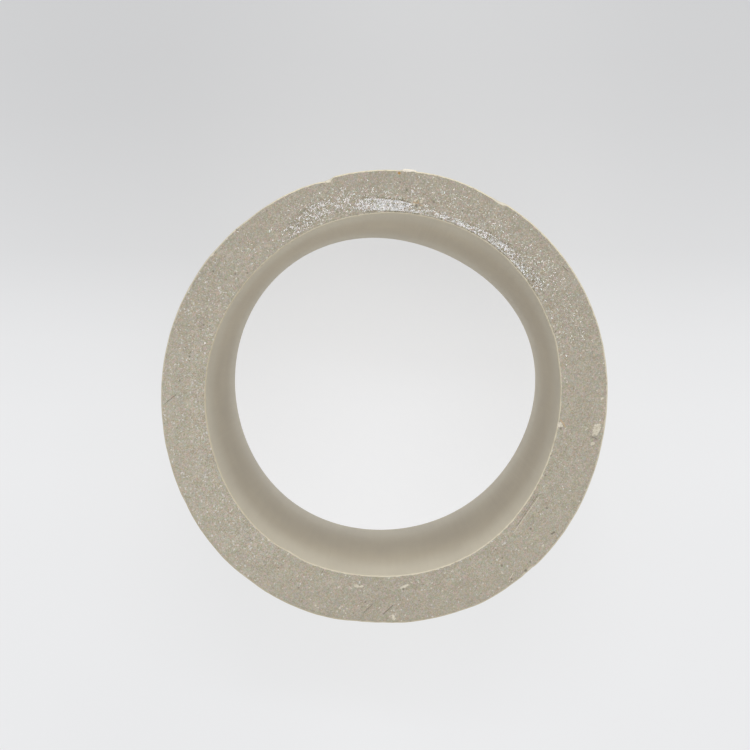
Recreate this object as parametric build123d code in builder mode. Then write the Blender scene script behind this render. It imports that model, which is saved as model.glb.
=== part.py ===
from build123d import *
import math
import os

# A ceramic packing ring for a filled tower: a length of extruded stoneware tube, cut off with a wire
# while the clay was wet, then fired. It went a little out of round in the kiln, each end in its own
# way. The cut mouth has a low lip around the bore, and its edges have lost a few small nicks.
# Lengths are in millimetres. Z is the ring's axis: the foot stands on Z = 0 and the mouth looks up.
# Directions are in degrees around Z, from X towards Y.

# The tube
outer_diameter = 50.0
wall = 4.9
length = 50.0

# The mouth, out of round: an oval, and on it a slight squareness
mouth_oval = 0.25
mouth_oval_direction = 73.0
mouth_square = 0.08
mouth_square_direction = 43.0

# The bore runs a little off the tube's middle, and is more oval than the outside at the mouth
bore_shift_x = -0.10
bore_shift_y = 0.25
bore_extra_oval = 0.09

# The foot, out of round: an oval, and on it three soft lobes
foot_oval = 0.30
foot_oval_direction = 172.0
foot_lobes = 0.28
foot_lobes_direction = 6.0

# The lip that the wire drew up around the bore, with a narrow flat crest
lip_height = 0.16
lip_width = 1.6
lip_crest = 0.5

# Edges, softened by the firing
rim_rounding = 0.25
bore_rounding = 0.2
foot_rounding = 0.35

# Nicks in the mouth's two edges, seen from above: direction, width along the edge, depth into the clay
rim_nicks = [(59.9, 2.4, 0.24), (104.5, 1.1, 0.38), (309.7, 1.9, 0.30)]
bore_nicks = [(350.5, 0.8, 0.30)]

# How many points each outline's curve is drawn through
outline_points = 24

outer_radius = outer_diameter / 2
bore_radius = outer_radius - wall
face_height = length - lip_height


def wave(direction, lobes, height, crest_direction):
    """How far a wave with that many lobes stands out in one direction."""
    return height * math.cos(math.radians(lobes * (direction - crest_direction)))


def outward(direction):
    """The unit vector that points away from the axis in one direction."""
    return Vector(1, 0).rotate(Axis.Z, direction)


def mouth_point(direction, radius, oval):
    """A point of the mouth's outline with that mean radius and oval."""
    oval_part = wave(direction, 2, oval, mouth_oval_direction)
    square_part = wave(direction, 4, mouth_square, mouth_square_direction)
    return outward(direction) * (radius + oval_part + square_part)


def rim_point(direction):
    """A point of the mouth's outer edge."""
    return mouth_point(direction, outer_radius, mouth_oval)


def bore_point(direction, margin=0.0):
    """A point of the bore's edge at the mouth, or that far out from it."""
    point = mouth_point(direction, bore_radius + margin, mouth_oval + bore_extra_oval)
    return point + Vector(bore_shift_x, bore_shift_y)


def foot_point(direction, radius):
    """A point of the foot's outline with that mean radius."""
    oval_part = wave(direction, 2, foot_oval, foot_oval_direction)
    lobes_part = wave(direction, 3, foot_lobes, foot_lobes_direction)
    return outward(direction) * (radius + oval_part + lobes_part)


def foot_rim_point(direction):
    """A point of the foot's outer edge."""
    return foot_point(direction, outer_radius)


def foot_bore_point(direction):
    """A point of the bore's edge at the foot."""
    return foot_point(direction, bore_radius) + Vector(bore_shift_x, bore_shift_y)


def outline(point_in_direction):
    """The smooth closed curve through one point for each direction around the axis."""
    directions = [360 * step / outline_points for step in range(outline_points)]
    Spline(*[point_in_direction(direction) for direction in directions], periodic=True)


def cut_nick(edge_point, direction, width, depth):
    """Scoop a nick out of an edge with a ball that hangs off the edge in that direction."""
    scoop_radius = (width**2 / 4 + depth**2) / (2 * depth)
    stand_off = scoop_radius - depth
    centre = edge_point + outward(direction) * stand_off + Vector(0, 0, stand_off)
    with Locations(Location(centre, (0, 0, direction))):
        Sphere(math.hypot(scoop_radius, stand_off), mode=Mode.SUBTRACT)


os.makedirs("parts", exist_ok=True)

with BuildPart() as ring:
    # The tube, solid as yet, from the foot up to the cut face
    with BuildSketch(Plane.XY):
        with BuildLine():
            outline(foot_rim_point)
        make_face()
    with BuildSketch(Plane.XY.offset(face_height)):
        with BuildLine():
            outline(rim_point)
        make_face()
    loft()
    fillet(ring.edges().group_by(Axis.Z)[0], radius=foot_rounding)
    fillet(ring.edges().group_by(Axis.Z)[-1], radius=rim_rounding)

    # The lip, which slopes up from the cut face to its crest
    with BuildSketch(Plane.XY.offset(face_height)):
        with BuildLine():
            outline(lambda direction: bore_point(direction, lip_width))
        make_face()
    with BuildSketch(Plane.XY.offset(length)):
        with BuildLine():
            outline(lambda direction: bore_point(direction, lip_crest))
        make_face()
    loft()

    # The bore, out of round at each end as the outside is
    with BuildSketch(Plane.XY):
        with BuildLine():
            outline(foot_bore_point)
        make_face()
    with BuildSketch(Plane.XY.offset(length)):
        with BuildLine():
            outline(bore_point)
        make_face()
    loft(mode=Mode.SUBTRACT)
    fillet(ring.edges().group_by(Axis.Z)[0].sort_by(SortBy.LENGTH)[0], radius=foot_rounding)
    fillet(ring.edges().group_by(Axis.Z)[-1].sort_by(SortBy.LENGTH)[0], radius=bore_rounding)

    # The nicks
    for direction, width, depth in rim_nicks:
        cut_nick(rim_point(direction) + Vector(0, 0, face_height), direction, width, depth)
    for direction, width, depth in bore_nicks:
        cut_nick(bore_point(direction) + Vector(0, 0, length), direction + 180, width, depth)

ring.part.label = "ring"
export_step(ring.part, "parts/ring.step")
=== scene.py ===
import math
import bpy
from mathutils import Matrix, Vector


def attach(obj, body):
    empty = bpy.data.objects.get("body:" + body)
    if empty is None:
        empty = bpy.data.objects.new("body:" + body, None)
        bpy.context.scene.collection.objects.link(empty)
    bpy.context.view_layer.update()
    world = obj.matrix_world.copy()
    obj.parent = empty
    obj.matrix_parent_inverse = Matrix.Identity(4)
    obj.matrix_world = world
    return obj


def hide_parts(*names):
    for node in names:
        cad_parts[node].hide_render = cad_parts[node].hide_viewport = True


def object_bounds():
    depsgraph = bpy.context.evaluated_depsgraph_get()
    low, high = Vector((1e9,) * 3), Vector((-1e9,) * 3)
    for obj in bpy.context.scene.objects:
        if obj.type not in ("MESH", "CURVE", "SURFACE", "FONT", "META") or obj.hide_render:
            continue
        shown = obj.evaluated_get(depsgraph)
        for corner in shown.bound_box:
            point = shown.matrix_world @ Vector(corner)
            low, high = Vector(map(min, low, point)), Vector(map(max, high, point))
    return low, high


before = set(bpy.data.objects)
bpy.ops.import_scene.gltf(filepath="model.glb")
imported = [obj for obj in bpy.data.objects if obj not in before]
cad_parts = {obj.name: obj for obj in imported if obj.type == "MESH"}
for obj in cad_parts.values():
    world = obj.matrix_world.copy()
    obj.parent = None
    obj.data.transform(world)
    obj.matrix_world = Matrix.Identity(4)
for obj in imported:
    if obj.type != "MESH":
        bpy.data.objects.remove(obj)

from types import SimpleNamespace

import bpy
from mathutils import Vector

# A packing ring of fired stoneware: a length of extruded tube, cut off with a wire while the clay was wet.
# It stands on its foot, and the camera looks down into its mouth.
# Lengths are in millimetres until a mesh is finished. Directions are degrees around Z, from X towards Y.

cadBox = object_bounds()
mm = 0.001
upright = Vector((0, 0, 1))


class NodeMaker:
    # Adds nodes to one tree. An input that is given a socket gets a link, any other value is set.
    def __init__(self, tree):
        self.tree = tree

    def add(self, kind, inputs=None, **settings):
        node = self.tree.nodes.new(kind)
        for name, value in settings.items():
            setattr(node, name, value)
        for name, value in (inputs or {}).items():
            if isinstance(value, bpy.types.NodeSocket):
                self.tree.links.new(value, node.inputs[name])
            else:
                node.inputs[name].default_value = value
        return node

    def calc(self, operation, *values):
        return self.add("ShaderNodeMath", dict(enumerate(values)), operation=operation).outputs[0]

    def vector(self, operation, *values):
        node = self.add("ShaderNodeVectorMath", dict(enumerate(values)), operation=operation)
        return node.outputs["Value" if operation in ("LENGTH", "DISTANCE", "DOT_PRODUCT") else "Vector"]

    def scale(self, vector, factor):
        return self.add("ShaderNodeVectorMath", {0: vector, "Scale": factor}, operation="SCALE").outputs[0]

    def combine(self, x, y, z):
        return self.add("ShaderNodeCombineXYZ", {0: x, 1: y, 2: z}).outputs[0]

    def separate(self, vector):
        return self.add("ShaderNodeSeparateXYZ", {0: vector}).outputs

    def chain(self, operation, values):
        result = values[0]
        for value in values[1:]:
            result = self.calc(operation, result, value)
        return result

    def total(self, *values):
        return self.chain("ADD", values)

    def product(self, *values):
        return self.chain("MULTIPLY", values)

    def most(self, *values):
        return self.chain("MAXIMUM", values)

    def minus(self, first, second):
        return self.calc("SUBTRACT", first, second)

    def rest(self, value):
        # What is left of 1
        return self.minus(1.0, value)

    def linear(self, value, factor, extra):
        return self.calc("MULTIPLY_ADD", value, factor, extra)

    def weigh(self, values, weights):
        return self.total(*[self.product(*pair) for pair in zip(values, weights)])

    def slant(self, x, y, z, stretches):
        # A place as seen along and across the wire's run, which is halfway between X and Y
        along, across = stretches
        return self.combine(self.product(self.total(x, y), along), self.product(self.minus(x, y), across), z)

    def reshuffle(self, value, factor):
        # Another random number, out of one between 0 and 1
        return self.calc("FRACT", self.product(value, factor))

    def blend(self, amount, first, second):
        # From first to second as amount goes from 0 to 1
        return self.total(first, self.product(amount, self.minus(second, first)))

    def ease(self, value, low, high, start=0.0, end=1.0):
        # Goes smoothly from start to end while value goes from low to high, and stays there
        inputs = {0: value, 1: low, 2: high, 3: start, 4: end}
        return self.add("ShaderNodeMapRange", inputs, interpolation_type="SMOOTHSTEP").outputs[0]

    def fade(self, value, low, high):
        # Goes smoothly from 1 to 0 while value goes from low to high
        return self.ease(value, low, high, 1.0, 0.0)

    def noise(self, vector, scale, detail=2.0, roughness=0.5):
        inputs = {"Vector": vector, "Scale": scale, "Detail": detail, "Roughness": roughness}
        return self.add("ShaderNodeTexNoise", inputs).outputs[0]

    def sway(self, vector, scale, detail=2.0, roughness=0.5, seed=0.0):
        # Noise from about -1 to 1, another one for each seed
        inputs = {"Vector": vector, "W": seed, "Scale": scale, "Detail": detail, "Roughness": roughness}
        fromZero = self.add("ShaderNodeTexNoise", inputs, noise_dimensions="4D").outputs[0]
        return self.linear(fromZero, 3.2, -1.6)

    def colour(self, amount, first, second, mode="MIX"):
        inputs = {0: amount, 6: first, 7: second}
        return self.add("ShaderNodeMix", inputs, data_type="RGBA", blend_type=mode).outputs[2]

    def keep(self, geometry, name, value):
        # Stores a value at each point, for the material to read
        inputs = {"Geometry": geometry, "Name": name, "Value": value}
        return self.add("GeometryNodeStoreNamedAttribute", inputs).outputs[0]

    def keepMost(self, geometry, name, value):
        before = self.add("GeometryNodeInputNamedAttribute", {"Name": name}).outputs[0]
        return self.keep(geometry, name, self.most(before, value))

    def finish(self, value, result):
        # Links what a group has made to its output
        self.tree.links.new(value, result[0])
        return self.tree

    def curve(self, turn, listed, reach, sharp=False):
        # A value listed as (direction, value), read at a share of a full turn. None may be beyond the reach.
        node = self.add("ShaderNodeFloatCurve", {"Value": turn})
        curve = node.mapping.curves[0]
        for direction, value in listed[1:-1]:
            curve.points.new(direction / 360, 0.5 + value / reach / 2)
        for end, (direction, value) in ((0, listed[0]), (-1, listed[-1])):
            curve.points[end].location = (direction / 360, 0.5 + value / reach / 2)
        for point in curve.points:
            point.handle_type = "VECTOR" if sharp else "AUTO"
        node.mapping.update()
        return self.product(self.minus(node.outputs[0], 0.5), 2 * reach)


def newGroup(name, kind, inputs, outputs):
    # A node group with the sockets that are listed as (name, type)
    tree = bpy.data.node_groups.new(name, kind)
    for inOut, sockets in (("INPUT", inputs), ("OUTPUT", outputs)):
        for socketName, socketType in sockets:
            tree.interface.new_socket(socketName, in_out=inOut, socket_type="NodeSocket" + socketType)
    make = NodeMaker(tree)
    return make, make.add("NodeGroupInput").outputs, make.add("NodeGroupOutput").inputs


def newMaterial(name):
    material = bpy.data.materials.new(name)
    material.use_nodes = True
    material.node_tree.nodes.clear()
    return material, NodeMaker(material.node_tree)


def newObject(name, data):
    added = bpy.data.objects.new(name, data)
    bpy.context.scene.collection.objects.link(added)
    return added


# The ring

ring = {
    "outerRadius": 25.0,
    "wall": 4.9,
    "boreShift": Vector((-0.10, 0.25, 0)),
    # Out of round at each end: lobes, height and the direction of a crest
    "mouthWaves": [(2, 0.25, 73), (4, 0.08, 43), (3, 0.041, 56), (5, 0.059, 17)],
    "boreMouthWaves": [(0, -0.07, 0), (1, 0.03, 177), (2, 0.344, 67.5), (4, 0.085, 45), (3, 0.067, 63),
                       (5, 0.054, 16), (6, 0.04, 53)],
    "footWaves": [(2, 0.30, 172), (3, 0.28, 6)],
    "boreFootWaves": [(1, 0.05, 111), (2, 0.30, 172), (3, 0.28, 6), (4, 0.08, 28), (5, 0.05, 90)],
    # Edges softened by the firing
    "rimRounding": 0.25,
    "boreRounding": 0.2,
    "footRounding": 0.35,
    # Nicks in the mouth's edges: direction, width along the edge, depth into the clay, how pale the break is,
    # partly a painted highlight where it faces the light
    "rimNicks": [
        (59.9, 2.4, 0.24, 1.0), (104.5, 1.1, 0.38, 1.0), (309.7, 1.9, 0.30, 0.15),
        (127.0, 1.3, 0.10, 1.0), (140.3, 0.6, 0.09, 1.0), (151.0, 0.5, 0.07, 1.0),
        (232.0, 1.0, 0.08, 0.5), (266.0, 1.6, 0.10, 0.5), (207.0, 0.6, 0.06, 0.7),
    ],
    "boreNicks": [
        (350.5, 0.8, 0.30, 1.0), (239.0, 0.7, 0.08, 0.7), (52.0, 0.5, 0.06, 1.0), (24.0, 0.5, 0.05, 1.0),
    ],
    # The mouth stands out a little, and its edges step in and out, as (direction, distance), by less than
    # stepReach. Both die out down the walls, at the rate of mouthFade.
    "mouthFade": 0.22,
    "mouthFlare": 0.18,
    "stepReach": 0.5,
    "rimSteps": [
        (0, 0), (46, 0), (58.5, 0.04), (60.2, -0.17), (64, -0.12), (69, 0), (76, 0.07), (82, 0),
        (100, 0.03), (103.0, 0.02), (104.9, -0.31), (107.5, -0.12), (112, 0), (124, 0), (127, -0.09),
        (131, 0), (138, -0.02), (141, 0.04), (150, 0), (206, 0), (208, -0.05), (211, 0), (229, 0),
        (234, -0.08), (239, 0), (252, 0.08), (258, 0.05), (262, -0.10), (270, -0.11), (275, 0), (290, 0),
        (295, 0.10), (300, 0.02), (307, -0.05), (313, 0), (360, 0),
    ],
    "boreSteps": [(0, 0), (12, 0), (18, 0.12), (23, 0), (234, 0), (239, -0.16), (244, 0), (360, 0)],
    # The noises in its shape: scale, detail, roughness, and what is added to the seed
    "noise": {
        "edges": (0.7, 3.0, 0.6, 0.0),
        "dieLines": (0.9, 4.0, 0.75, 3.0),
        "filmStart": (0.9, 4.0, 0.7, 7.0),
        "filmWidth": (1.1, 3.0, 0.7, 8.0),
        "filmPatches": (1.0, 3.0, 0.65, 9.0),
        "streaks": (1.0, 3.0, 0.6, 0.0),
        "lumps": (0.5, 4.0, 0.45, 1.0),
    },
    "edgesApart": 9.0,                 # keeps the rim's noise away from the bore's
    "streakStretch": (0.12, 1.3),      # along and across the wire's run
    # Fades, in millimetres: the die's lines towards both ends, the mouth's relief down the walls, and the
    # foot's relief up them
    "dieLineFade": (0.0, 2.0),
    "mouthReliefFade": (0.3, 5.0),
    "footReliefFade": (0.0, 0.4),
}
length = (cadBox[1].z - cadBox[0].z) / mm
boreRadius = ring["outerRadius"] - ring["wall"]

ringInputs = {
    "Outer Radius": ring["outerRadius"],
    "Wall": ring["wall"],
    "Length": length,
    "Lip Height": 0.16,
    "Edge Wobble": 0.035,
    "Face Relief": 0.016,
    "Streak Relief": 0.006,
    "Die Lines": 0.018,
    "Seed": 4.0,
}

# How finely the sweep is divided. The walls' rows crowd towards the mouth.
ringSteps = {"around": 1260, "bore": 12, "face": 33, "outside": 12, "foot": 4, "corner": 4, "rimCorner": 6,
             "crowding": 3.0}


def corner(across, height, radius, start, steps):
    # A quarter turn, clockwise, around the middle of a rounded edge
    angles = [math.radians(start - 90 * step / steps) for step in range(steps + 1)]
    return [(across + radius * math.cos(a), height + radius * math.sin(a)) for a in angles]


def straight(start, end, steps, crowding=1.0):
    # The points between two others. Crowding over 1 packs them towards the end.
    shares = [1 - (1 - step / steps) ** crowding for step in range(1, steps)]
    return [(start[0] + (end[0] - start[0]) * s, start[1] + (end[1] - start[1]) * s) for s in shares]


def makeSection():
    # The wall's outline as (distance out from the bore, height), clockwise from the foot's inner corner
    wall, rim, bore, foot = [ring[name] for name in ("wall", "rimRounding", "boreRounding", "footRounding")]
    steps = ringSteps
    outline = corner(foot, foot, foot, 270, steps["corner"])
    outline += straight((0, foot), (0, length - bore), steps["bore"], steps["crowding"])
    outline += corner(bore, length - bore, bore, 180, steps["corner"])
    outline += straight((bore, length), (wall - rim, length), steps["face"])
    outline += corner(wall - rim, length - rim, rim, 90, steps["rimCorner"])
    outline += straight((wall, foot), (wall, length - rim), steps["outside"], steps["crowding"])[::-1]
    outline += corner(wall - foot, foot, foot, 0, steps["corner"])
    outline += straight((wall - foot, 0), (foot, 0), steps["foot"])
    mesh = bpy.data.meshes.new("ringSection")
    count = len(outline)
    edges = [(step, (step + 1) % count) for step in range(count)]
    mesh.from_pydata([(across, -height, 0) for across, height in outline], edges, [])  # Y is down in a sweep
    return mesh, count


# How the clay broke: how gritty the nicks are and where they turn pale, and how ragged the crumbs are
breaks = {
    "grit": 0.035,
    "gritNoise": (2.2, 2.0, 0.6),
    "paleDepth": (0.01, 0.10),
    "raggedness": 0.45,
    "raggedNoise": (2.6, 2.0, 0.6),
    "crumbBorder": (0.55, 1.15),
    "crumbReach": 0.6,
    "nickSeedStep": 1.7,
    "crumbSeedStep": 2.3,
}


def makeScoopGroup():
    # Pushes the skin that lies inside a ball down to the ball's far side, as a chip leaves it
    sockets = [("Geometry", "Geometry"), ("Centre", "Vector"), ("Radius", "Float"), ("Outward", "Vector"),
               ("Pale", "Float"), ("Seed", "Float")]
    make, given, result = newGroup("scoop", "GeometryNodeTree", sockets, [("Geometry", "Geometry")])
    position = make.add("GeometryNodeInputPosition").outputs[0]
    grit = make.sway(position, *breaks["gritNoise"], given["Seed"])
    radius = make.linear(grit, breaks["grit"], given["Radius"])
    reach = make.vector("SUBTRACT", position, given["Centre"])
    along = make.vector("DOT_PRODUCT", reach, given["Outward"])
    distance = make.vector("LENGTH", reach)
    inside = make.minus(make.product(radius, radius), make.product(distance, distance))
    root = make.calc("SQRT", make.most(make.total(make.product(along, along), inside), 0.0))
    push = make.product(make.total(along, root), make.calc("GREATER_THAN", inside, 0.0))
    # The break's paleness: partly paler clay, partly a painted highlight where the break faces the light
    palenessAndHighlight = make.product(make.ease(push, *breaks["paleDepth"]), given["Pale"])
    kept = make.keepMost(given["Geometry"], "chip", palenessAndHighlight)
    offset = make.scale(given["Outward"], make.product(push, -1.0))
    moved = make.add("GeometryNodeSetPosition", {"Geometry": kept, "Offset": offset})
    return make.finish(moved.outputs[0], result)


def makeSwellGroup():
    # Lifts a longish spot of the skin, as a crumb, a flake or a burr of clay
    sockets = [("Geometry", "Geometry"), ("Centre", "Vector"), ("Half Size", "Vector"), ("Turn", "Float"),
               ("Lift", "Vector"), ("Seed", "Float")]
    make, given, result = newGroup("swell", "GeometryNodeTree", sockets, [("Geometry", "Geometry")])
    position = make.add("GeometryNodeInputPosition").outputs[0]
    reach = make.vector("SUBTRACT", position, given["Centre"])
    inputs = {"Vector": reach, "Angle": given["Turn"]}
    turned = make.add("ShaderNodeVectorRotate", inputs, rotation_type="Z_AXIS").outputs[0]
    distance = make.vector("LENGTH", make.vector("DIVIDE", turned, given["Half Size"]))
    wander = make.sway(position, *breaks["raggedNoise"], given["Seed"])
    ragged = make.linear(wander, breaks["raggedness"], distance)
    amount = make.fade(ragged, *breaks["crumbBorder"])
    kept = make.keepMost(given["Geometry"], "crumb", amount)
    offset = make.scale(given["Lift"], amount)
    moved = make.add("GeometryNodeSetPosition", {"Geometry": kept, "Offset": offset})
    return make.finish(moved.outputs[0], result)


def wavesAt(waves, direction):
    return sum(height * math.cos(math.radians(lobes * (direction - crest))) for lobes, height, crest in waves)


def outward(direction):
    angle = math.radians(direction)
    return Vector((math.cos(angle), math.sin(angle), 0))


def makeNicks():
    # The balls that take the nicks out of the mouth's edges, as (centre, radius, direction out of the clay,
    # paleness)
    faceHeight = length - ringInputs["Lip Height"]
    edges = [
        (ring["rimNicks"], ring["outerRadius"], ring["mouthWaves"], Vector(), faceHeight, 1),
        (ring["boreNicks"], boreRadius, ring["boreMouthWaves"], ring["boreShift"], length, -1),
    ]
    balls = []
    for nicks, radius, waves, shift, height, side in edges:
        for direction, width, depth, pale in nicks:
            away = outward(direction)
            edge = away * (radius + wavesAt(waves, direction)) + shift + upright * height
            scoopRadius = (width**2 / 4 + depth**2) / (2 * depth)
            standOff = scoopRadius - depth
            slant = away * side + upright
            centre = edge + slant * standOff
            balls.append((centre, math.hypot(scoopRadius, standOff), slant.normalized(), pale))
    return balls


# The lip around the bore and the look of the cut, as (direction, value)
lip = {
    # Where the lip's crest ends, how wide its slope is, and how high it stands for its given height
    "crest": [(0, 0.45), (30, 0.15), (43, 0.02), (78, 0.02), (84, 0.12), (90, 0.26), (97, 0.45),
              (105, 1.10), (113, 0.70), (121, 0.35), (130, 0.40), (140, 0.50), (200, 0.50), (360, 0.45)],
    "slope": [(0, 1.2), (30, 1.3), (43, 1.40), (50, 1.30), (60, 1.10), (70, 0.85), (80, 1.25), (90, 1.48),
              (97, 1.45), (105, 1.6), (113, 1.7), (121, 1.3), (130, 1.2), (140, 1.3), (360, 1.2)],
    "rise": [(0, 1.0), (30, 1.2), (43, 1.72), (50, 1.40), (60, 1.08), (70, 0.77), (80, 1.10), (90, 1.32),
             (97, 1.33), (105, 1.57), (113, 1.85), (121, 1.60), (130, 1.4), (140, 1.0), (360, 1.0)],
    # How much of the slope is glassy, and how many grains of the cut glitter
    "film": [(0, 0.0), (15, 0.0), (30, 0.20), (43, 1.0), (50, 0.92), (64, 0.92), (70, 0.90), (77, 0.58),
             (81, 0.76), (87, 1.20), (95, 0.82), (100, 0.40), (104, 0.30), (108, 0.65), (115, 0.68),
             (121, 0.40), (128, 0.0), (360, 0.0)],
    "spark": [(0, 0.10), (12, 0.35), (20, 0.85), (30, 0.95), (45, 1.0), (110, 1.0), (117, 0.80), (125, 0.25),
              (145, 0.20), (165, 0.50), (180, 0.70), (230, 0.70), (242, 0.15), (300, 0.25), (360, 0.05)],
    # How pale the skin is where it folds over each edge: partly a real pale line, partly a painted highlight
    # where the edge faces the light; where it is faint, a painted shade takes its place
    "boreLineAndHighlight": [(0, 0.32), (40, 0.25), (60, 0.20), (100, 0.20), (135, 0.08), (180, 0.05), (225, 0.12),
                 (270, 0.20), (315, 0.25), (360, 0.32)],
    "rimLineAndHighlight": [(0, 0.25), (30, 0.50), (50, 0.90), (110, 0.90), (122, 0.35), (150, 0.14), (180, 0.12),
                (210, 0.0), (300, 0.05), (360, 0.25)],
    # How much paler the cut's sand is, and how speckled with pale grains that are partly painted glints
    "tone": [(0, -0.010), (22, -0.025), (52, -0.038), (67, -0.031), (82, -0.040), (112, -0.027),
             (142, -0.023), (157, -0.001), (172, 0.018), (187, 0.040), (217, 0.041), (232, 0.026),
             (247, 0.006), (262, -0.019), (277, -0.020), (292, -0.006), (322, 0.002), (337, -0.011),
             (360, -0.010)],
    "bleach": [(0, 0.10), (120, 0.0), (140, 0.40), (150, 1.0), (232, 1.0), (242, 0.15), (262, 0.15),
               (360, 0.10)],
    # The most that a value of each may be
    "reach": {"crest": 1.5, "slope": 3.0, "rise": 3.0, "film": 1.2, "spark": 1.0, "boreLineAndHighlight": 1.0,
              "rimLineAndHighlight": 1.0, "tone": 0.1, "bleach": 1.0},
    # How far the film's start and width wander, how patchy it is, how far down the bore it may show, how
    # softly it starts and ends, and how much of the relief it fills
    "startWander": 0.25,
    "widthWander": 0.55,
    "patchiness": 0.45,
    "filmDepth": 1.0,
    "filmStartFade": 0.15,
    "filmEndFade": (0.1, 0.2),
    "filmFilling": 0.75,
    # Where, as a share of the wall, the bore's pale line gives way to the rim's
    "lineChange": (0.3, 0.7),
    # Where, out from the bore, the glitter falls from all to a fifth
    "sparkFall": (2.9, 4.2, 1.0, 0.2),
    # The tone's share at the bore, and how much it grows up to the rim
    "toneAtBore": 0.35,
    "toneGrowth": 0.9,
}

# Crumbs, flakes and burrs of clay: place, half length and half width, turn of the length, lift
swells = [
    ((2.80, 25.28, 49.6), (1.05, 0.36), 6, (0, 0.17, 0.05)),       # the burr on the rim
    ((23.57, -3.58, 49.84), (0.80, 0.46), 62, (0, 0, 0.10)),       # the pale flake by the rim
    ((23.13, -5.14, 49.84), (0.28, 0.25), 0, (0, 0, 0.08)),
    ((24.20, -0.10, 49.80), (0.20, 0.12), 50, (0, 0, 0.05)),
    ((4.07, 21.76, 49.95), (0.26, 0.20), 60, (0, 0, 0.08)),        # crumbs on the lip
    ((3.40, 21.91, 49.90), (0.26, 0.18), 20, (0, 0, 0.06)),
    ((3.30, 21.48, 49.95), (0.22, 0.13), 40, (0, 0, 0.05)),
    ((3.86, 21.16, 49.98), (0.26, 0.14), 115, (0, 0, 0.05)),
    ((-3.10, -20.98, 49.9), (0.34, 0.13), 170, (0, 0, 0.05)),      # two drawn-out flakes below the bore
    ((-2.60, -21.06, 49.9), (0.34, 0.13), 15, (0, 0, 0.05)),
    ((2.29, -21.02, 49.9), (0.52, 0.15), 20, (0, 0, 0.05)),
    ((3.00, -20.61, 49.9), (0.14, 0.12), 0, (0, 0, 0.04)),
    ((3.79, -20.61, 49.9), (0.13, 0.12), 0, (0, 0, 0.04)),
    ((0.99, -24.54, 49.84), (0.38, 0.24), 105, (0, 0, 0.05)),      # the smear at the bottom
    ((19.60, -2.98, 49.85), (0.46, 0.34), 130, (0, 0, 0)),         # the pale bottom of the bore's nick
]


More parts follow.
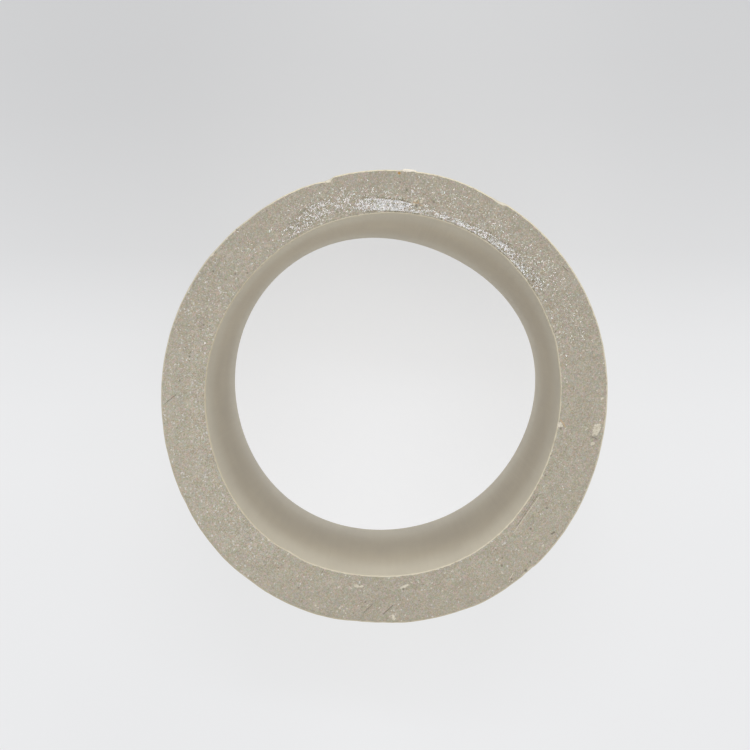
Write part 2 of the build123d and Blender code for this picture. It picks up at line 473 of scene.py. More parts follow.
def makeRingTree():
    inputs = [("Section", "Geometry"), ("Around", "Int")]
    inputs += [(name, "Float") for name in ringInputs] + [("Skin", "Material")]
    make, given, result = newGroup("ringSweep", "GeometryNodeTree", inputs, [("Geometry", "Geometry")])

    def sway(place, name):
        scale, detail, roughness, seedStep = ring["noise"][name]
        return make.sway(place, scale, detail, roughness, make.total(given["Seed"], seedStep))

    # The plain ring: the section swept around the axis, at its true distance from it
    profile = make.add("GeometryNodeMeshToCurve", {"Mesh": given["Section"]}).outputs[0]
    innerRadius = make.minus(given["Outer Radius"], given["Wall"])
    inputs = {"Resolution": given["Around"], "Radius": innerRadius}
    circle = make.add("GeometryNodeCurvePrimitiveCircle", inputs).outputs[0]
    swept = make.add("GeometryNodeCurveToMesh", {"Curve": circle, "Profile Curve": profile}).outputs[0]

    # Where each point of the plain ring is: around the axis, across the wall, and how high
    position = make.add("GeometryNodeInputPosition").outputs[0]
    x, y, level = make.separate(position)
    around = make.calc("ARCTAN2", y, x)
    fromAxis = make.calc("SQRT", make.total(make.product(x, x), make.product(y, y)))
    across = make.minus(fromAxis, innerRadius)
    for name, value in (("across", across), ("level", level), ("chip", 0.0), ("crumb", 0.0)):
        swept = make.keep(swept, name, value)
    share = make.calc("DIVIDE", across, given["Wall"])
    height = make.calc("DIVIDE", level, given["Length"])
    away = make.combine(make.calc("COSINE", around), make.calc("SINE", around), 0.0)
    belowMouth = make.minus(given["Length"], level)

    def waves(listed):
        crests = []
        for lobes, waveHeight, crest in listed:
            turned = make.product(make.minus(around, math.radians(crest)), float(lobes))
            crests.append(make.product(make.calc("COSINE", turned), waveHeight))
        return make.total(*crests)

    # Out of round, its own way at each end, and with steps in the mouth's edges that die out down the walls
    degrees = make.calc("FLOORED_MODULO", make.calc("DEGREES", around), 360.0)
    turn = make.calc("DIVIDE", degrees, 360.0)
    nearMouth = make.calc("EXPONENT", make.product(belowMouth, -ring["mouthFade"]))
    rimStep = make.curve(turn, ring["rimSteps"], ring["stepReach"], sharp=True)
    rimStep = make.total(rimStep, ring["mouthFlare"])
    boreStep = make.curve(turn, ring["boreSteps"], ring["stepReach"], sharp=True)
    outerOut = make.blend(height, waves(ring["footWaves"]), waves(ring["mouthWaves"]))
    boreOut = make.blend(height, waves(ring["boreFootWaves"]), waves(ring["boreMouthWaves"]))
    outerOut = make.total(outerOut, given["Outer Radius"], make.product(rimStep, nearMouth))
    boreOut = make.total(boreOut, innerRadius, make.product(boreStep, nearMouth))

    # The mouth's edges wander a little, and faint lines run up the walls from the die
    apart = make.combine(0.0, 0.0, make.product(share, ring["edgesApart"]))
    onEdge = make.vector("ADD", make.scale(away, given["Outer Radius"]), apart)
    wobble = make.product(sway(onEdge, "edges"), given["Edge Wobble"], nearMouth)
    lines = make.product(sway(onEdge, "dieLines"), given["Die Lines"],
                         make.ease(belowMouth, *ring["dieLineFade"]), make.ease(level, *ring["dieLineFade"]))
    radius = make.total(make.blend(share, boreOut, outerOut), wobble, lines)

    # The lip around the bore: a narrow crest, and a slope down to the cut face
    listed = {name: make.curve(turn, lip[name], reach) for name, reach in lip["reach"].items()}
    crest, slope = listed["crest"], listed["slope"]
    fallen = make.add("ShaderNodeMapRange", {0: across, 1: crest, 2: make.total(crest, slope)}).outputs[0]
    fall = make.product(fallen, given["Lip Height"], listed["rise"])

    # The film lies on the slope, with a border that wanders
    plain = make.combine(x, y, 0.0)
    filmStart = make.linear(sway(plain, "filmStart"), lip["startWander"], crest)
    filmWidth = make.linear(sway(plain, "filmWidth"), lip["widthWander"], slope)
    filmEnd = make.total(filmStart, filmWidth)
    begun = make.ease(across, make.minus(filmStart, lip["filmStartFade"]), filmStart)
    before, after = lip["filmEndFade"]
    notEnded = make.fade(across, make.minus(filmEnd, before), make.total(filmEnd, after))
    film = make.linear(sway(plain, "filmPatches"), lip["patchiness"], listed["film"])
    film = make.product(film, make.product(begun, notEnded))

    # What the material reads at each point
    lineChange = make.ease(share, *lip["lineChange"])
    toneShare = make.linear(share, lip["toneGrowth"], lip["toneAtBore"])
    kept = {
        "film": make.product(film, make.calc("LESS_THAN", belowMouth, lip["filmDepth"])),
        "fold": make.blend(lineChange, listed["boreLineAndHighlight"], listed["rimLineAndHighlight"]),
        "spark": make.product(listed["spark"], make.ease(across, *lip["sparkFall"])),
        "tone": make.product(listed["tone"], toneShare),
        "bleach": listed["bleach"],
    }
    for name, value in kept.items():
        swept = make.keep(swept, name, value)

    # The cut faces: soft lumps, and streaks that the wire drew slantwise
    shifted = make.scale(ring["boreShift"], make.rest(share))
    flat = make.vector("ADD", make.scale(away, radius), shifted)
    flatX, flatY, _ = make.separate(flat)
    slanted = make.slant(flatX, flatY, 0.0, ring["streakStretch"])
    streaks = make.product(sway(slanted, "streaks"), given["Streak Relief"])
    lumps = make.product(sway(flat, "lumps"), given["Face Relief"])
    unfilled = make.linear(film, -lip["filmFilling"], 1.0)
    relief = make.product(make.total(streaks, lumps), unfilled)
    drop = make.product(make.minus(relief, fall), make.fade(belowMouth, *ring["mouthReliefFade"]))
    footRelief = make.product(make.calc("ABSOLUTE", relief), make.fade(level, *ring["footReliefFade"]))
    placed = make.vector("ADD", flat, make.combine(0.0, 0.0, make.total(level, drop, footRelief)))
    body = make.add("GeometryNodeSetPosition", {"Geometry": swept, "Position": placed}).outputs[0]

    # Nicks out of the edges, crumbs on top
    for number, (centre, ballRadius, slant, pale) in enumerate(makeNicks()):
        values = {"Geometry": body, "Centre": centre, "Radius": ballRadius, "Outward": slant, "Pale": pale,
                  "Seed": number * breaks["nickSeedStep"]}
        body = make.add("GeometryNodeGroup", values, node_tree=scoopGroup).outputs[0]
    for number, (centre, halfSize, turned, lift) in enumerate(swells):
        values = {"Geometry": body, "Centre": centre, "Half Size": (*halfSize, breaks["crumbReach"]),
                  "Turn": math.radians(-turned), "Lift": lift, "Seed": number * breaks["crumbSeedStep"]}
        body = make.add("GeometryNodeGroup", values, node_tree=swellGroup).outputs[0]

    # Millimetres to metres, then smooth shading, realized instances and the material
    body = make.add("GeometryNodeTransform", {"Geometry": body, "Scale": (mm, mm, mm)}).outputs[0]
    body = make.add("GeometryNodeSetShadeSmooth", {"Geometry": body}).outputs[0]
    body = make.add("GeometryNodeRealizeInstances", {"Geometry": body}).outputs[0]
    body = make.add("GeometryNodeSetMaterial", {"Geometry": body, "Material": given["Skin"]}).outputs[0]
    return make.finish(body, result)


def makeStrokeGroup():
    # A mask that is 1 along a short line, and soft at its border
    sockets = [("Place", "Vector"), ("Start", "Vector"), ("Run", "Vector"),
               ("Run Over Length Squared", "Vector"), ("Narrow", "Float"), ("Wide", "Float")]
    make, given, result = newGroup("stroke", "ShaderNodeTree", sockets, [("Mask", "Float")])
    fromStart = make.vector("SUBTRACT", given["Place"], given["Start"])
    share = make.vector("DOT_PRODUCT", fromStart, given["Run Over Length Squared"])
    share = make.add("ShaderNodeClamp", {0: share}).outputs[0]
    away = make.vector("DISTANCE", fromStart, make.scale(given["Run"], share))
    return make.finish(make.fade(away, given["Narrow"], given["Wide"]), result)


# Marks on the mouth's cut face, in millimetres from the axis: lines as (start, end, width), spots and pits
# as (place, width)
faceMarks = {
    "grooves": [
        ((17.08, -10.82), (14.73, -14.30), 0.044), ((16.70, -11.02), (15.10, -13.40), 0.022),
        ((-0.13, -24.16), (0.92, -23.20), 0.110), ((-2.27, -23.96), (-1.38, -23.07), 0.060),
        ((-24.48, -0.69), (-23.26, 0.31), 0.080), ((19.85, 14.60), (20.40, 14.05), 0.070),
        # The second groove on the next line is a painted shadow below the pale flake by the rim
        ((18.58, -15.20), (18.94, -15.02), 0.140), ((23.20, -4.40), (23.62, -4.62), 0.140),
    ],
    "paleLines": [
        ((17.22, -11.05), (14.40, -15.02), 0.050), ((14.33, -19.60), (14.04, -20.12), 0.080),
        ((22.35, -3.62), (22.66, -3.38), 0.090), ((-3.92, -21.10), (-3.66, -21.36), 0.080),
        ((-3.36, -21.02), (-3.06, -21.13), 0.170), ((-3.06, -21.13), (-2.46, -21.03), 0.170),
        ((1.84, -21.22), (2.58, -20.88), 0.230),
    ],
    "paleSpots": [
        ((17.66, -16.52), 0.20), ((15.76, -16.78), 0.18), ((13.13, -19.56), 0.18), ((-5.03, -23.50), 0.20),
        ((-4.55, -23.80), 0.17), ((-4.72, -23.30), 0.15), ((-4.20, -23.55), 0.18), ((-4.36, -24.05), 0.15),
        ((-5.30, -23.85), 0.14), ((-7.70, -23.20), 0.22), ((-7.40, -23.45), 0.15), ((0.98, -24.45), 0.26),
        ((4.25, 22.12), 0.20), ((3.00, 22.08), 0.16), ((2.58, 21.95), 0.13), ((3.02, 21.60), 0.14),
        ((5.20, -21.25), 0.16), ((-12.9, -15.9), 0.16), ((-15.30, -18.20), 0.18),
    ],
    "tanLines": [
        ((19.57, -2.47), (19.86, -2.80), 0.120), ((19.86, -2.80), (20.12, -3.25), 0.120),
        ((3.20, 21.74), (3.62, 21.62), 0.110), ((3.74, 21.98), (3.72, 21.62), 0.100),
        ((4.00, 21.42), (4.22, 21.33), 0.100),
    ],
    "rustSpots": [((1.62, 24.96), 0.26)],
    "pits": [
        ((3.53, 21.30), 0.28), ((5.44, 21.78), 0.20), ((2.46, 23.10), 0.20), ((1.72, 23.95), 0.16),
        ((16.27, -14.66), 0.20), ((18.09, -12.31), 0.18), ((17.89, -8.64), 0.18), ((15.77, -19.32), 0.26),
        ((16.25, -18.30), 0.18), ((13.07, -18.73), 0.21), ((13.12, -17.87), 0.16), ((14.16, -20.24), 0.18),
        ((-2.17, -22.81), 0.19), ((-5.87, -18.92), 0.16), ((-9.58, -21.22), 0.16), ((-21.72, 4.57), 0.18),
        ((-19.07, 14.07), 0.18), ((-15.25, 13.88), 0.18), ((-16.59, 13.77), 0.17), ((-20.15, 8.10), 0.19),
        ((-13.09, 20.78), 0.16), ((-16.47, 18.67), 0.16), ((18.68, -15.16), 0.15), ((18.86, -15.06), 0.15),
        # On the next line, the pits at 19.60, -3.42 and 2.10, -21.36 are painted shadows, below the bore's
        # nick and below a flake
        ((-22.82, 1.88), 0.16), ((8.63, 20.78), 0.16), ((19.60, -3.42), 0.20), ((2.10, -21.36), 0.18),
    ],
    # As shares of a width: where a line's border begins and ends, how far each kind of spot reaches, and
    # how much of that is its core
    "lineBorder": (0.15, 0.85),
    "spotReach": {"paleSpots": 0.8, "pits": 1.0, "rustSpots": 0.9},
    "spotCore": 0.3,
}

# The fired clay: a pale, smooth skin where the die pressed it, greyer and sandy where the wire cut it.
# A border is given by where it begins and ends, in millimetres unless a note says otherwise.
clay = {
    "skinDark": (0.555, 0.501, 0.388, 1),
    "skinPale": (0.628, 0.576, 0.451, 1),
    # painted shade, laid on the skin mid-way down the bore
    "paintedBoreShade": (0.955, 0.924, 0.868, 1),
    # The pale line on the edges, partly a painted highlight, and the seam of painted shade where it is faint
    "edge": (0.760, 0.685, 0.490, 1),
    "edgeShade": (0.500, 0.430, 0.290, 1),
    "cutDark": (0.290, 0.249, 0.187, 1),
    "cutPale": (0.480, 0.439, 0.338, 1),
    "pinkGrain": (0.480, 0.400, 0.330, 1),
    "pore": (0.170, 0.150, 0.105, 1),
    # pale grains, partly painted glints
    "grog": (0.640, 0.600, 0.510, 1),
    "paleGrainsAndGlints": (0.640, 0.620, 0.580, 1),
    "chip": (0.680, 0.625, 0.500, 1),
    "crumb": (0.670, 0.615, 0.490, 1),
    "crumbDark": (0.430, 0.375, 0.270, 1),
    "burr": (0.860, 0.790, 0.670, 1),
    "mark": (0.150, 0.130, 0.090, 1),
    "rust": (0.360, 0.190, 0.030, 1),
    "tan": (0.500, 0.340, 0.180, 1),
    # How strongly each one covers what it lies on
    "cover": {"pore": 0.7, "skinPore": 0.5, "grog": 0.75, "paleGrainsAndGlints": 0.75, "grooves": 0.6, "crumb": 0.85,
              "paleLines": 0.75, "paleSpots": 0.7, "tanLines": 0.8, "pits": 0.7},
    # Noises: scale, detail, roughness
    "noise": {
        "border": (1.7, 2.0, 0.7),
        "grain": (9.2, 1.0, 0.6),
        "mottle": (0.17, 2.0, 0.5),
        "dieLines": (1.5, 2.0, 0.6),
        "foldBreaks": (1.1, 3.0, 0.7),
        "patches": (0.6, 3.0, 0.5),
        "streaks": (1.0, 2.0, 0.6),
    },
    # The cut's borders: down from each end, and in from a rounded edge, with how ragged it is there
    "endBorder": (0.24, 0.14),
    "mouthBorder": (0.32, 0.20),
    "cutBorder": (0.215, 0.285),
    "raggedness": 0.22,
    "reliefBorder": (0.06, 0.16),
    # Grains: how many there are, how far they ripple out of place, and how far their tints differ
    "grainsPerMm": 5.7,
    "rippleScale": 5.0,
    "rippleDetail": 1.0,
    "rippleReach": 0.40,
    "grainTint": (0.17, 0.11, 0.21),
    # The skin's tone: shares of mottling, die lines and grain, with the first two drawn out along the tube
    "skinShares": (0.56, 0.18, 0.26),
    "skinRange": (0.30, 0.70),
    "mottleStretch": 0.3,
    "dieLineStretch": 0.035,
    # The painted shade in the bore: where it ends out from the wall, where it grows, and where it fades
    # further up
    "shadeOut": (0.05, 0.3),
    "shadeUp": (4.0, 20.0),
    "shadeOver": (32.0, 44.0),
    # The line where the skin folds over an edge, partly a painted highlight: its width, where it breaks up,
    # and its seam of painted shade
    "foldWidth": 0.06,
    "foldBreaks": (0.30, 0.62, 0.45, 1.35),
    "seamFade": (0.0, 0.25, 0.75, 0.0),
    # The cut's tone: shares of grain, patches, wire streaks and cells, then its middle, level and range
    "cutShares": (0.71, 0.15, 0.15, 0.10),
    "toneMiddle": 0.555,
    "toneLevel": 0.490,
    "toneRange": (0.25, 0.75),
    "sparkContrast": 0.6,
    "streakStretch": (0.28, 1.9),
    "pinkShare": (0.75, 0.95, 0.0, 0.35),
    # The painted shade in the gap around a grain, from its middle, and how deep it is in the film and
    # elsewhere
    "gapBorder": (0.38, 0.70),
    "gapInFilm": 0.70,
    "gapElsewhere": 0.11,
    # Pores and grog: how many dots there are, how the wire dragged them, their spread and least width, and
    # which ones are pores or grog, by each dot's number between 0 and 1
    "dotsPerMm": 2.6,
    "dotStretch": (0.35, 0.71),
    "dotWidth": (0.10, 0.055),
    "dotBorder": (0.8, 1.5),
    "poreAbove": 0.90,
    "grogBelow": 0.35,
    # Pale grains, partly painted glints: their share where the curve is full, and how far out from a grain's
    # middle
    "bleachedShare": 0.08,
    "bleachedWidth": 0.50,
    # Crumbs and the burr: how much the grain roughens a crumb's border, where the border and the burr lie,
    # how dark the crumb's rim is, and the range of its tone
    "crumbGrain": 0.8,
    "crumbBorder": (0.70, 0.95),
    "burrBorder": (0.15, 0.40),
    "crumbRim": 1.6,
    "crumbRange": (0.30, 0.58),
    # How far film and grains lean from the surface, and how wide a glittering facet is
    "filmLean": 0.066,
    "filmLeanFade": (0.9, 1.3),
    "grainLean": 0.160,
    "grainDrag": (0.02, 0.08, 0),
    "facetWidth": 0.26,
    "facetSpread": 0.28,
    "facetInFilm": 0.45,
    # Fine relief, as shares of its depth in millimetres
    "reliefDepth": 0.08,
    "reliefStrength": 0.8,
    "streakHeight": 0.12,
    "grooveHeight": -0.6,
    "dieLineHeight": 0.10,
    # The gloss
    "filmRoughness": 0.080,
    "grainRoughness": 0.17,
    "sandRoughness": 0.55,
    "skinRoughness": 0.52,
    "refraction": 1.55,
}


def clayNoise(make, vector, name):
    return make.noise(vector, *clay["noise"][name])


def lay(make, under, mask, cover, paint=None):
    # Lays a colour over another one, where the mask is 1 and as strongly as its cover says
    strength = make.product(mask, clay["cover"][cover])
    return make.colour(strength, under, clay[paint or cover])


def readRing(make):
    # What all parts of the material share: the place, what the sweep kept, the cut's borders and the grains
    on = SimpleNamespace()
    on.place = make.scale(make.add("ShaderNodeTexCoord").outputs["Object"], 1 / mm)
    on.x, on.y, on.z = make.separate(on.place)
    on.flat = make.combine(on.x, on.y, 0.0)
    for name in ("across", "level", "film", "fold", "spark", "tone", "bleach", "chip", "crumb"):
        setattr(on, name, make.add("ShaderNodeAttribute", attribute_name=name).outputs["Fac"])

    # Where the wire cut: both end faces, in from their rounded edges
    fromMiddle = make.calc("ABSOLUTE", make.minus(on.level, length / 2))
    on.atEnds = make.ease(fromMiddle, *[length / 2 - depth for depth in clay["endBorder"]])
    on.atMouth = make.ease(on.level, *[length - depth for depth in clay["mouthBorder"]])
    on.fromEdge = make.calc("MINIMUM", on.across, make.minus(ring["wall"], on.across))
    border = clayNoise(make, on.place, "border")
    ragged = make.linear(border, clay["raggedness"], on.fromEdge)
    on.wireCut = make.product(make.ease(ragged, *clay["cutBorder"]), on.atEnds)
    on.cut = make.product(on.wireCut, make.rest(on.chip))
    on.plainCut = make.product(make.ease(on.fromEdge, *clay["reliefBorder"]), on.atEnds)

    # The grains of the clay, each with its own tint
    on.grain = clayNoise(make, on.place, "grain")
    inputs = {"Vector": on.place, "Scale": clay["rippleScale"], "Detail": clay["rippleDetail"]}
    ripple = make.add("ShaderNodeTexNoise", inputs).outputs["Color"]
    ripple = make.vector("SUBTRACT", ripple, (0.5, 0.5, 0.5))
    rippled = make.vector("ADD", on.place, make.scale(ripple, clay["rippleReach"]))
    cells = make.add("ShaderNodeTexVoronoi", {"Vector": rippled, "Scale": clay["grainsPerMm"]})
    on.fromGrain = cells.outputs["Distance"]
    on.cellRed, on.cellGreen, on.cellBlue = make.separate(cells.outputs["Color"])
    offWhite = make.vector("SUBTRACT", cells.outputs["Color"], (0.5, 0.5, 0.5))
    offWhite = make.vector("MULTIPLY", offWhite, clay["grainTint"])
    on.tint = make.vector("ADD", offWhite, (1.0, 1.0, 1.0))
    return on


def paintSkin(make, on):
    # The smooth skin: broad mottling and faint lines along the tube, and a painted shade mid-way down the
    # bore
    mottlePlace = make.combine(on.x, on.y, make.product(on.z, clay["mottleStretch"]))
    linePlace = make.combine(on.x, on.y, make.product(on.z, clay["dieLineStretch"]))
    mottle = clayNoise(make, mottlePlace, "mottle")
    on.dieLines = clayNoise(make, linePlace, "dieLines")
    skinTone = make.weigh((mottle, on.dieLines, on.grain), clay["skinShares"])
    skin = make.colour(make.ease(skinTone, *clay["skinRange"]), clay["skinDark"], clay["skinPale"])
    # Painted shade: darker and browner mid-way down the bore, where the bore is in shade
    shadeEnds = make.product(make.ease(on.level, *clay["shadeUp"]), make.fade(on.level, *clay["shadeOver"]))
    paintedShadeInBore = make.product(make.fade(on.across, *clay["shadeOut"]), shadeEnds)
    skin = make.colour(paintedShadeInBore, skin, clay["paintedBoreShade"], "MULTIPLY")

    # A paler line where it folds over an edge, partly a painted highlight, and a seam of painted shade where
    # that line is faint
    broken = make.ease(clayNoise(make, on.place, "foldBreaks"), *clay["foldBreaks"])
    atFold = make.product(make.ease(on.fromEdge, 0.0, clay["foldWidth"]), on.atEnds)
    atEdgeShade = make.product(atFold, make.ease(on.fold, *clay["seamFade"]))
    skin = make.colour(atEdgeShade, skin, clay["edgeShade"])
    return make.colour(make.product(atFold, on.fold, broken), skin, clay["edge"])


def paintCut(make, on):
    # The cut face: sandy grains, some a little pink, with wire streaks through them and painted shade in the
    # gaps between them
    patches = clayNoise(make, on.place, "patches")
    on.streaks = clayNoise(make, make.slant(on.x, on.y, 0.0, clay["streakStretch"]), "streaks")
    tone = make.weigh((on.grain, patches, on.streaks, on.cellBlue), clay["cutShares"])
    tone = make.total(tone, on.tone)
    contrast = make.linear(on.spark, clay["sparkContrast"], 1.0)
    tone = make.minus(tone, clay["toneMiddle"])
    tone = make.linear(tone, contrast, clay["toneLevel"])
    sand = make.colour(make.ease(tone, *clay["toneRange"]), clay["cutDark"], clay["cutPale"])
    sand = make.colour(make.ease(on.cellRed, *clay["pinkShare"]), sand, clay["pinkGrain"])
    sand = make.vector("MULTIPLY", sand, on.tint)
    # Painted shade: the gaps between grains are darkened, most in the film
    gapDepth = make.linear(on.film, clay["gapInFilm"], clay["gapElsewhere"])
    paintedGapShade = make.product(make.ease(on.fromGrain, *clay["gapBorder"]), gapDepth)
    return make.colour(paintedGapShade, sand, clay["pore"])


def addSpecks(make, on, skin, sand):
    # Pores, paler specks of grog that the wire dragged a little, and single pale grains, partly painted
    # glints
    dragged = make.slant(on.x, on.y, on.z, clay["dotStretch"])
    dots = make.add("ShaderNodeTexVoronoi", {"Vector": dragged, "Scale": clay["dotsPerMm"]})
    kind, _, size = make.separate(dots.outputs["Color"])
    width = make.linear(size, *clay["dotWidth"])
    fromDot = make.calc("DIVIDE", dots.outputs["Distance"], width)
    inDot = make.fade(fromDot, *clay["dotBorder"])
    pore = make.product(inDot, make.calc("GREATER_THAN", kind, clay["poreAbove"]))
    grog = make.product(inDot, make.calc("LESS_THAN", kind, clay["grogBelow"]))
    chance = make.product(on.bleach, clay["bleachedShare"])
    paleGrainsAndGlints = make.calc("LESS_THAN", make.reshuffle(on.cellBlue, 29.0), chance)
    paleGrainsAndGlints = make.product(paleGrainsAndGlints, make.calc("LESS_THAN", on.fromGrain, clay["bleachedWidth"]))
    for name, mask in (("pore", pore), ("grog", grog), ("paleGrainsAndGlints", paleGrainsAndGlints)):
        sand = lay(make, sand, mask, name)
    return lay(make, skin, pore, "skinPore", "pore"), sand


def lineMask(make, on, name):
    begin, end = faceMarks["lineBorder"]
    masks = []
    for start, stop, width in faceMarks[name]:
        run = Vector(stop) - Vector(start)
        inputs = {"Place": on.flat, "Start": (*start, 0), "Run": (*run, 0),
                  "Run Over Length Squared": (*(run / run.length_squared), 0),
                  "Narrow": width * begin, "Wide": width * end}
        masks.append(make.add("ShaderNodeGroup", inputs, node_tree=strokeGroup).outputs[0])
    return make.product(make.most(*masks), on.atMouth)


def spotMask(make, on, name):
    masks = []
    for (x, y), width in faceMarks[name]:
        away = make.vector("DISTANCE", on.flat, (x, y, 0))
        reach = width * faceMarks["spotReach"][name]
        masks.append(make.fade(away, reach * faceMarks["spotCore"], reach))
    return make.product(make.most(*masks), on.atMouth)


def paintMarks(make, on, colour):
    # Grooves, then crumbs with a dark rim, then lines, spots and pits; one groove and two pits are painted
    # shadows below a flake and a nick
    on.grooves = lineMask(make, on, "grooves")
    colour = lay(make, colour, on.grooves, "grooves", "mark")
    roughened = make.linear(on.grain, clay["crumbGrain"], on.crumb)
    crumb = make.ease(roughened, *clay["crumbBorder"])
    burr = make.fade(on.fromEdge, *clay["burrBorder"])
    crumbRim = make.product(crumb, make.rest(crumb), clay["crumbRim"], on.wireCut)
    crumbTone = make.ease(on.grain, *clay["crumbRange"])
    crumbTone = make.colour(crumbTone, clay["crumbDark"], clay["crumb"])
    crumbTone = make.colour(burr, crumbTone, clay["burr"])
    colour = make.colour(make.product(crumb, clay["cover"]["crumb"]), colour, crumbTone)
    colour = make.colour(crumbRim, colour, clay["mark"])
    colour = lay(make, colour, lineMask(make, on, "paleLines"), "paleLines", "crumb")
    paleSpots, tanLines = spotMask(make, on, "paleSpots"), lineMask(make, on, "tanLines")
    pits = spotMask(make, on, "pits")
    colour = lay(make, colour, paleSpots, "paleSpots", "crumb")
    colour = lay(make, colour, tanLines, "tanLines", "tan")
    colour = lay(make, colour, pits, "pits", "mark")
    on.bare = make.product(on.cut, make.rest(make.most(crumb, paleSpots, tanLines, pits)))
    return make.colour(spotMask(make, on, "rustSpots"), colour, clay["rust"])


def leanGrains(make, on):
    # A glassy film leans little from the surface. The grains that stand out of it lean their own ways.
    on.inFilm = make.calc("LESS_THAN", on.cellBlue, on.film)
    most = clay["filmLean"]
    filmLean = make.ease(on.film, *clay["filmLeanFade"], most, most / 2)
    reach = make.blend(on.inFilm, clay["grainLean"], filmLean)
    lean = make.combine(make.minus(on.cellRed, 0.5), make.minus(on.cellGreen, 0.5), 0.0)
    drag = make.scale(clay["grainDrag"], make.rest(on.inFilm))
    lean = make.scale(make.vector("ADD", make.scale(lean, reach), drag), on.bare)
    surface = make.add("ShaderNodeNewGeometry").outputs["Normal"]
    leaning = make.vector("NORMALIZE", make.vector("ADD", surface, lean))

    # Fine relief: wire streaks and grooves on the cut, die lines on the skin
    cutHeight = make.weigh((on.streaks, on.grooves), (clay["streakHeight"], clay["grooveHeight"]))
    skinHeight = make.product(on.dieLines, clay["dieLineHeight"])
    relief = {"Height": make.blend(on.plainCut, skinHeight, cutHeight), "Normal": leaning,
              "Strength": clay["reliefStrength"], "Distance": clay["reliefDepth"] * mm}
    return make.add("ShaderNodeBump", relief).outputs[0]


def polishGrains(make, on):
    # The film shines, and so do the facets of some grains, some of them more dully
    chosen = make.calc("LESS_THAN", make.reshuffle(on.cellBlue, 13.0), on.spark)
    spread = make.product(make.reshuffle(on.cellRed, 17.0), clay["facetSpread"])
    facet = make.total(spread, make.product(on.film, clay["facetInFilm"]), clay["facetWidth"])
    onFacet = make.calc("LESS_THAN", on.fromGrain, facet)
    glossy = make.most(on.inFilm, make.product(chosen, onFacet))
    dullness = make.reshuffle(on.cellGreen, 11.0)
    dulled = make.product(make.rest(on.inFilm), dullness, dullness)
    polished = make.blend(dulled, clay["filmRoughness"], clay["grainRoughness"])
    cutRoughness = make.blend(glossy, clay["sandRoughness"], polished)
    return make.blend(on.bare, clay["skinRoughness"], cutRoughness)


def makeStoneware():
    material, make = newMaterial("stoneware")
    on = readRing(make)
    skin, sand = addSpecks(make, on, paintSkin(make, on), paintCut(make, on))
    # Pale breaks at the nicks, partly a painted highlight
    skin = make.colour(on.chip, skin, clay["chip"])
    colour = paintMarks(make, on, make.colour(on.cut, skin, sand))
    inputs = {"Base Color": colour, "Normal": leanGrains(make, on), "Roughness": polishGrains(make, on),
              "IOR": clay["refraction"]}
    shader = make.add("ShaderNodeBsdfPrincipled", inputs).outputs[0]
    make.add("ShaderNodeOutputMaterial", {"Surface": shader})
    print("stoneware:", len(material.node_tree.nodes), "nodes")
    return material


def makeRing():
    section, rowCount = makeSection()
    blank = newObject("ringSection", section)
    tree = makeRingTree()
    modifier = blank.modifiers.new("ringSweep", "NODES")
    modifier.node_group = tree
    sockets = {item.name: item.identifier for item in tree.interface.items_tree if item.in_out == "INPUT"}
    for name, value in ringInputs.items():
        modifier[sockets[name]] = value
    modifier[sockets["Around"]] = ringSteps["around"]
    modifier[sockets["Skin"]] = makeStoneware()
    evaluated = blank.evaluated_get(bpy.context.evaluated_depsgraph_get())
    mesh = bpy.data.meshes.new_from_object(evaluated)
    blank.modifiers.clear()
    bpy.data.objects.remove(blank)
    mesh.calc_loop_triangles()
    print("ring:", rowCount, "rows,", len(mesh.loop_triangles), "triangles")
    return newObject("firedRing", mesh)


scoopGroup = makeScoopGroup()
swellGroup = makeSwellGroup()
strokeGroup = makeStrokeGroup()
firedRing = makeRing()
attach(firedRing, "root")
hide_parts("ring")


# The floor, pale and plain, with a soft glow that changes along Y

floor = {
    "halfWidth": 3000.0,
    "albedo": 0.30,
    "tint": (0.993, 1.0, 1.016),
    # Glow by place along Y, in millimetres
    "glow": [(-60, 0.545), (-24, 0.552), (-12, 0.558), (-3, 0.548), (6, 0.519), (11.6, 0.485), (18.4, 0.432),
             (25, 0.406), (32, 0.380), (37, 0.363), (44, 0.350), (60, 0.340)],
    # Extra glow by place along X, in the middle and at the sides
    "middleGlow": 0.035,
    "sideGlow": -0.014,
    "middleToSide": 45.0,
    # Extra glow under the bore, and where it ends out from the bore's wall
    "boreGlow": (0.128, 0.132, 0.140, 1),
    "boreGlowBorder": (1.0, 2.5),
}


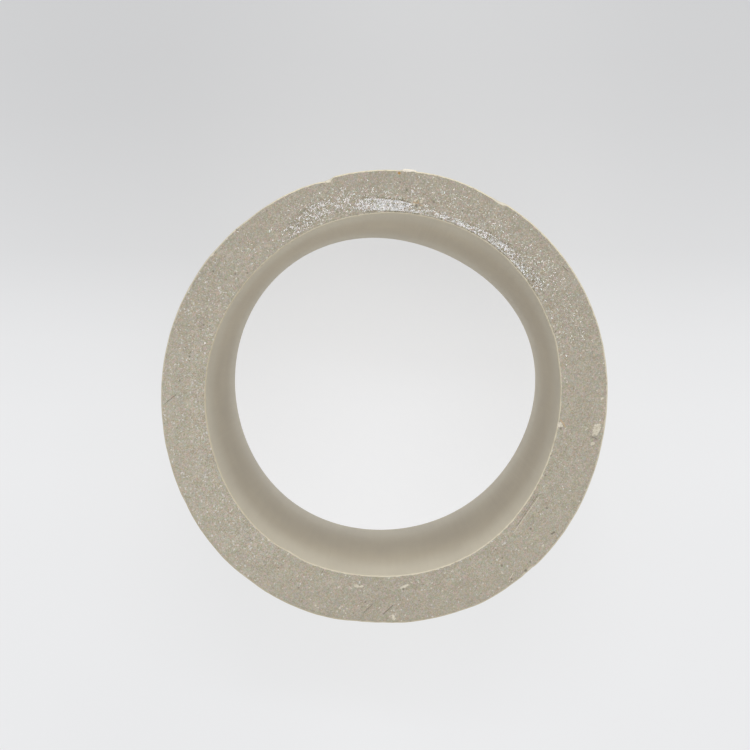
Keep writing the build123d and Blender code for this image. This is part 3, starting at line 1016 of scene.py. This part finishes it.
def makeFloor():
    half = floor["halfWidth"] * mm
    mesh = bpy.data.meshes.new("paleFloor")
    corners = [(-half, -half, 0), (half, -half, 0), (half, half, 0), (-half, half, 0)]
    mesh.from_pydata(corners, [], [(0, 1, 2, 3)])
    material, make = newMaterial("paleFloor")
    place = make.scale(make.add("ShaderNodeTexCoord").outputs["Object"], 1 / mm)
    x, y, _ = make.separate(place)
    first, last = floor["glow"][0][0], floor["glow"][-1][0]
    share = make.add("ShaderNodeMapRange", {0: y, 1: float(first), 2: float(last)}).outputs[0]
    ramp = make.add("ShaderNodeValToRGB", {0: share})
    stops = ramp.color_ramp.elements
    for spot, _ in floor["glow"][1:-1]:
        stops.new((spot - first) / (last - first))
    for stop, (_, strength) in zip(stops, floor["glow"]):
        stop.color = (*[strength * part for part in floor["tint"]], 1)
    border = [boreRadius + distance for distance in floor["boreGlowBorder"]]
    underBore = make.fade(make.vector("LENGTH", place), *border)
    glow = make.colour(underBore, ramp.outputs[0], floor["boreGlow"], "ADD")
    fromMiddle = make.calc("ABSOLUTE", x)
    sideways = make.ease(fromMiddle, 0.0, floor["middleToSide"], floor["middleGlow"], floor["sideGlow"])
    glow = make.vector("ADD", glow, make.combine(sideways, sideways, sideways))
    diffuse = make.add("ShaderNodeBsdfDiffuse", {"Color": (*[floor["albedo"]] * 3, 1)}).outputs[0]
    emission = make.add("ShaderNodeEmission", {"Color": glow}).outputs[0]
    both = make.add("ShaderNodeAddShader", {0: diffuse, 1: emission}).outputs[0]
    make.add("ShaderNodeOutputMaterial", {"Surface": both})
    mesh.materials.append(material)
    return newObject("paleFloor", mesh)


makeFloor()
print("floor: ready")


# The light: a white room, and three soft boxes

whiteRoom = 0.66
boxDistance = 1.0    # metres from the mouth
softBoxes = {
    # Tilt from straight up, direction, width and depth in metres, brightness, colour
    "topBox": (20, 82, 0.68, 0.075, 8.9, (0.92, 0.97, 1.10)),
    "keyBox": (67, 86, 0.60, 0.55, 3.6, (1, 1, 1)),
    "frontBox": (42, 292, 0.50, 0.40, 2.6, (1, 1, 1)),
}


def makeLights():
    target = Vector((0, 0, length * mm))
    for name, (tilt, direction, width, depth, brightness, colour) in softBoxes.items():
        lamp = bpy.data.lights.new(name, "AREA")
        lamp.shape = "RECTANGLE"
        lamp.size = width
        lamp.size_y = depth
        lamp.energy = brightness * math.pi * width * depth
        lamp.color = colour
        tilted = math.radians(tilt)
        towards = outward(direction) * math.sin(tilted) + upright * math.cos(tilted)
        box = newObject(name, lamp)
        box.location = target + towards * boxDistance
        box.rotation_euler = towards.to_track_quat("Z", "Y").to_euler()
        box.visible_camera = False
    world = bpy.data.worlds.new("whiteRoom")
    world.use_nodes = True
    background = world.node_tree.nodes["Background"]
    background.inputs["Color"].default_value = (1, 1, 1, 1)
    background.inputs["Strength"].default_value = whiteRoom
    bpy.context.scene.world = world


makeLights()
print("light: ready")


# The camera looks down the bore, as the photograph looks along it

camera = {
    "place": Vector((-0.39, 7.21, 276.4)),
    "focalPixels": 2035.0,
    "imagePixels": 750.0,
    "sensorWidth": 36.0,
    "clipStart": 10.0,
    # How far from the picture's middle the ring's axis would meet it, in pixels
    "leanX": -42.1,
    "leanY": 6.1,
}


def makeCamera():
    data = bpy.data.cameras.new("camera")
    data.sensor_width = camera["sensorWidth"]
    data.lens = camera["sensorWidth"] * camera["focalPixels"] / camera["imagePixels"]
    data.clip_start = camera["clipStart"] * mm
    lens = newObject("camera", data)
    lens.location = camera["place"] * mm
    turnX = math.atan(camera["leanX"] / camera["focalPixels"])
    turnY = math.atan(camera["leanY"] / camera["focalPixels"])
    lens.rotation_euler = (turnX, turnY, 0)
    bpy.context.scene.camera = lens


makeCamera()
bpy.context.scene.view_settings.view_transform = "Standard"
print("camera: ready")
